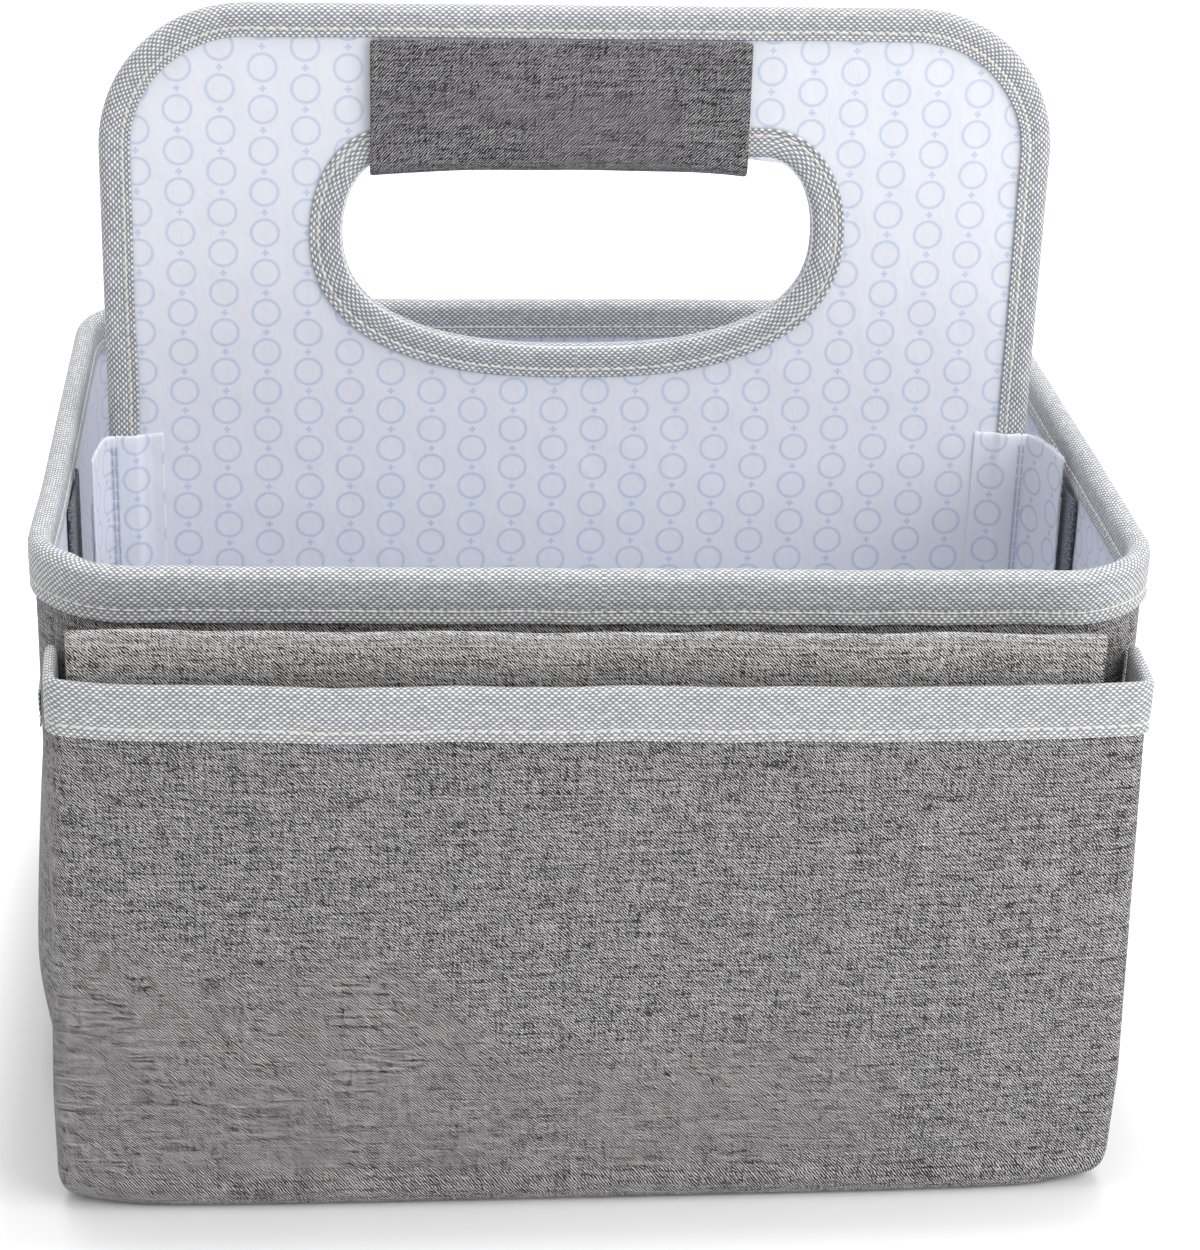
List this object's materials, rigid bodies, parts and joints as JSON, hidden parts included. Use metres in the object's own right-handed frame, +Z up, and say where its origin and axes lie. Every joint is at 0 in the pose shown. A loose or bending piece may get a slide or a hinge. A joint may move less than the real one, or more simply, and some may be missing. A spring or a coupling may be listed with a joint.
{
  "type": "diaper caddy",
  "caption": "Stiffened cloth caddy with a lift-out handle divider, side-wall tabs, outside pockets and a folded changing mat in the front pocket.",
  "frame": {"origin": "centre of the tub's underside, on the surface that the caddy stands on", "axes": "+Z up; -Y towards the front pocket; +X to the right as seen from the front"},
  "size_m": [0.3184, 0.2573, 0.312],
  "materials": {
    "heather_cloth": "woven grey heather cloth, dark and light threads mixed",
    "dark_heather_cloth": "woven heather cloth, a little darker",
    "binding_tape": "light grey woven tape with a row of off-white stitching",
    "printed_lining": null,
    "stiffener": "hidden stiffening board, unpainted",
    "loop_strip": "dark grey loop pile",
    "hook_strip": "fine moulded hooks"
  },
  "bodies": {
    "tub": {"base_cloth": "heather_cloth", "base_board": "stiffener", "floor_lining": "printed_lining", "front_cloth": "heather_cloth", "back_cloth": "heather_cloth", "left_cloth": "heather_cloth", "right_cloth": "heather_cloth", "front_board": "stiffener", "back_board": "stiffener", "left_board": "stiffener", "right_board": "stiffener", "front_lining": "printed_lining", "back_lining": "printed_lining", "left_lining": "printed_lining", "right_lining": "printed_lining", "rim_binding": "binding_tape", "front_pocket": "heather_cloth", "front_pocket_binding": "binding_tape", "left_side_pocket": "heather_cloth", "left_side_pocket_binding": "binding_tape", "right_side_pocket": "heather_cloth", "right_side_pocket_binding": "binding_tape", "left_loop_strip": "loop_strip", "right_loop_strip": "loop_strip"},
    "divider": {"divider_board": "stiffener", "divider_front_sheet": "printed_lining", "divider_back_sheet": "printed_lining", "divider_edge_binding": "binding_tape", "hand_hole_binding": "binding_tape", "grip_sleeve": "dark_heather_cloth", "left_tab_root": "printed_lining", "right_tab_root": "printed_lining"},
    "left_tab": {"left_tab": "printed_lining", "left_hook_strip": "hook_strip"},
    "right_tab": {"right_tab": "printed_lining", "right_hook_strip": "hook_strip"},
    "mat": {"changing_mat": "heather_cloth"}
  },
  "joints": [
    {"name": "divider_lift", "type": "slide", "parent": "tub", "child": "divider", "axis": [0, 0, 1], "range_m": [0, 0.195]},
    {"name": "left_tab_peel", "type": "hinge", "parent": "divider", "child": "left_tab", "pos_m": [-0.1365, -0.0045, 0.1], "axis": [0, 0, 1], "range_deg": [0, 105]},
    {"name": "right_tab_peel", "type": "hinge", "parent": "divider", "child": "right_tab", "pos_m": [0.1365, -0.0045, 0.1], "axis": [0, 0, 1], "range_deg": [-105, 0]},
    {"name": "mat_slide", "type": "slide", "parent": "tub", "child": "mat", "axis": [0, -0.0623, 0.9981], "range_m": [0, 0.17]}
  ]
}
